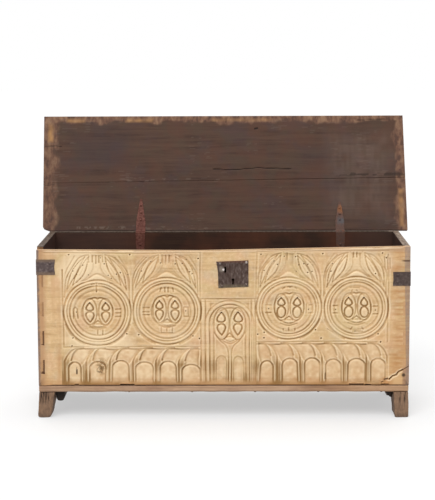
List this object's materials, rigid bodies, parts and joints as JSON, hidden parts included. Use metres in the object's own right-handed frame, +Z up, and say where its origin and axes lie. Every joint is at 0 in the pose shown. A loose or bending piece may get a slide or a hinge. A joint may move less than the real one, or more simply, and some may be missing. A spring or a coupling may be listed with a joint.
{
  "type": "coffer chest",
  "caption": "Long dovetailed storage chest on sled feet with a carved front, an iron lock plate and a strap-hinged plank lid, shown open.",
  "frame": {"origin": "on the floor, in the middle of the length and of the depth of the chest as it stands with its lid open", "axes": "+X along the chest's length towards the right as seen from the front, +Y from the carved front towards the back board, +Z up"},
  "size_m": [1.585, 0.7341, 1.1827],
  "materials": {
    "front_wood": "pale, dry, carved and waxed",
    "carcass_wood": "dark with age, dry",
    "bottom_wood": "worn, dry",
    "foot_wood": "worn end grain",
    "batten_wood": "dark, rough",
    "lid_wood": "dark underside with pale worn borders",
    "wrought_iron": "old, browned",
    "hinge_iron": "rusty"
  },
  "bodies": {
    "chest": {"front_board": "front_wood", "back_board": "carcass_wood", "left_side_board": "carcass_wood", "right_side_board": "carcass_wood", "bottom_front_plank": "bottom_wood", "bottom_rear_plank": "bottom_wood", "left_runner": "foot_wood", "right_runner": "foot_wood", "left_batten": "batten_wood", "right_batten": "batten_wood", "runner_pegs": "foot_wood", "lock_plate": "wrought_iron", "lock_plate_nails": "wrought_iron", "lock_bolt_guides": "wrought_iron", "lock_spring": "wrought_iron", "left_corner_strap": "wrought_iron", "right_corner_strap": "wrought_iron", "corner_strap_nails": "wrought_iron", "bottom_nails": "wrought_iron", "batten_nails": "wrought_iron", "left_hinge_back_strap": "hinge_iron", "left_hinge_pin": "hinge_iron", "right_hinge_back_strap": "hinge_iron", "right_hinge_pin": "hinge_iron", "hinge_back_nails": "hinge_iron"},
    "lid": {"lid_front_plank": "lid_wood", "lid_rear_plank": "lid_wood", "lid_dowels": "lid_wood", "left_hinge_lid_strap": "hinge_iron", "right_hinge_lid_strap": "hinge_iron", "hinge_lid_nails": "hinge_iron"},
    "lock_bolt": {"lock_bolt": "wrought_iron"}
  },
  "joints": [
    {"name": "lid_hinge", "type": "hinge", "parent": "chest", "child": "lid", "pos_m": [0, 0.14408, 0.6971], "axis": [1, 0, 0], "range_deg": [0, 112]},
    {"name": "lock_bolt_slide", "type": "slide", "parent": "chest", "child": "lock_bolt", "axis": [-1, 0, 0], "range_m": [0, 0.013]}
  ]
}
